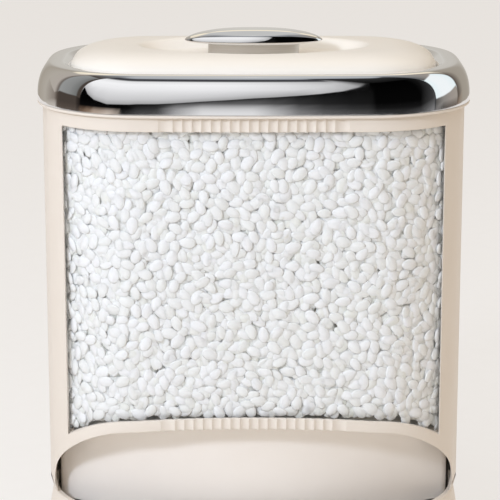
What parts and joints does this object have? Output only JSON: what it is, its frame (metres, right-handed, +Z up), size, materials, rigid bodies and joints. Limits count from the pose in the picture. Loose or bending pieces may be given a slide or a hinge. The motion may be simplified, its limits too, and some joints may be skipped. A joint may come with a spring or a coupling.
{
  "type": "rice dispenser with drawer",
  "caption": "Cream rice dispenser: window filled with rice, arched mouth, pull-out drawer in a flared base, and a lift-off lid with a chromed ring and knob.",
  "frame": {"origin": "on the table under the middle of the housing", "axes": "+Z up, the front with the window and drawer looks towards -Y, +X to the right seen from the front"},
  "size_m": [0.2802, 0.1776, 0.3603],
  "materials": {
    "cream_shell": "fine satin moulded ABS",
    "cream_inner": "matt moulded polypropylene",
    "cream_lid": "smooth semi-gloss moulded ABS",
    "clear_window": "clear polished acrylic",
    "rice": "polished white rice grains, stood in for by one solid",
    "bright_chrome": "mirror-bright chrome plating on ABS",
    "satin_metal": "satin",
    "slide_plastic": "smooth low-friction acetal",
    "silicone_seal": "soft translucent silicone",
    "steel_screws": "zinc-plated steel",
    "rubber_feet": "matt grey rubber"
  },
  "bodies": {
    "housing": {"body_shell": "cream_shell", "window_pane": "clear_window", "top_collar": "cream_shell", "hopper": "cream_inner", "rice_fill": "rice", "base_shell": "cream_shell", "base_floor": "cream_inner", "base_screws": "steel_screws", "rail_left": "slide_plastic", "rail_right": "slide_plastic", "rail_screws": "steel_screws", "foot_front_left": "rubber_feet", "foot_front_right": "rubber_feet", "foot_rear_left": "rubber_feet", "foot_rear_right": "rubber_feet"},
    "drawer": {"drawer_front": "cream_shell", "drawer_tray": "cream_inner", "drawer_screws": "steel_screws", "shutter_plate": "slide_plastic"},
    "lid": {"lid_ring": "bright_chrome", "lid_dome": "cream_lid", "lid_liner": "cream_inner", "lid_seal": "silicone_seal", "lid_screws": "steel_screws", "knob_cap": "bright_chrome", "knob_neck": "satin_metal", "knob_screws": "steel_screws"}
  },
  "joints": [
    {"name": "drawer_slide", "type": "slide", "parent": "housing", "child": "drawer", "axis": [0, -1, 0], "range_m": [0, 0.08]},
    {"name": "lid_lift", "type": "slide", "parent": "housing", "child": "lid", "axis": [0, 0, 1], "range_m": [0, 0.08]}
  ]
}
